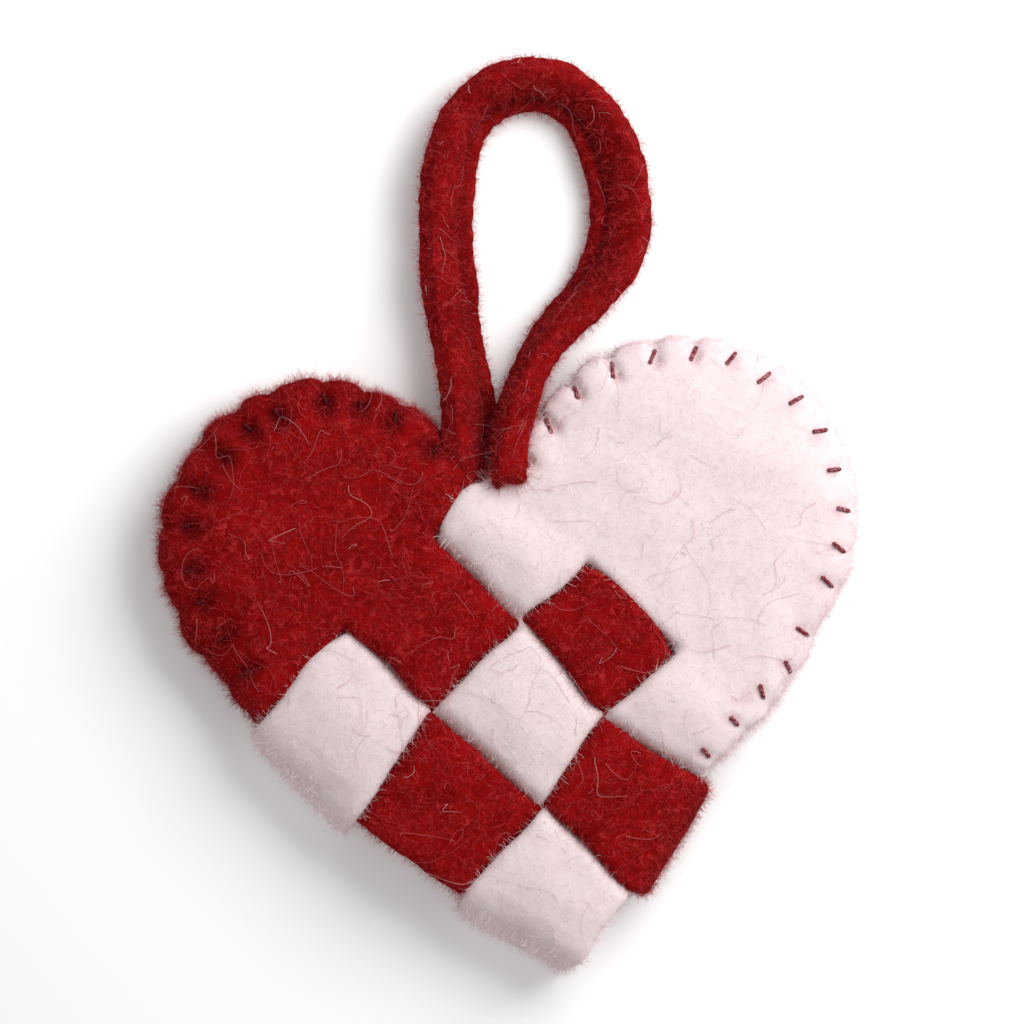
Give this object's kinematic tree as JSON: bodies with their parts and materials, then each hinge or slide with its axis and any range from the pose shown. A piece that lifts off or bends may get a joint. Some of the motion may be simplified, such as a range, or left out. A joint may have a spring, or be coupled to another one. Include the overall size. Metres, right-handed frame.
{
  "type": "felt woven heart ornament",
  "caption": "Padded heart laced from a red and an off-white felt half, overcast round its lobes, with a red felt hanging loop.",
  "frame": {"origin": "on the surface that the heart lies on, under the middle of the two halves' own box, without the loop", "axes": "+Z is the front of the heart, which lies on its back; +Y points from the heart's tip to its hanging loop; +X is the heart's right as seen from the front, the side of the off-white lobe"},
  "size_m": [0.0908, 0.1187, 0.0117],
  "materials": {
    "red_felt": "fuzzy deep red wool felt",
    "white_felt": "fuzzy off-white wool felt with a pink tint",
    "loop_felt": "fuzzy deep red wool felt strap"
  },
  "bodies": {
    "root": {"red_half": "red_felt", "white_half": "white_felt", "hanging_loop": "loop_felt"}
  },
  "joints": []
}
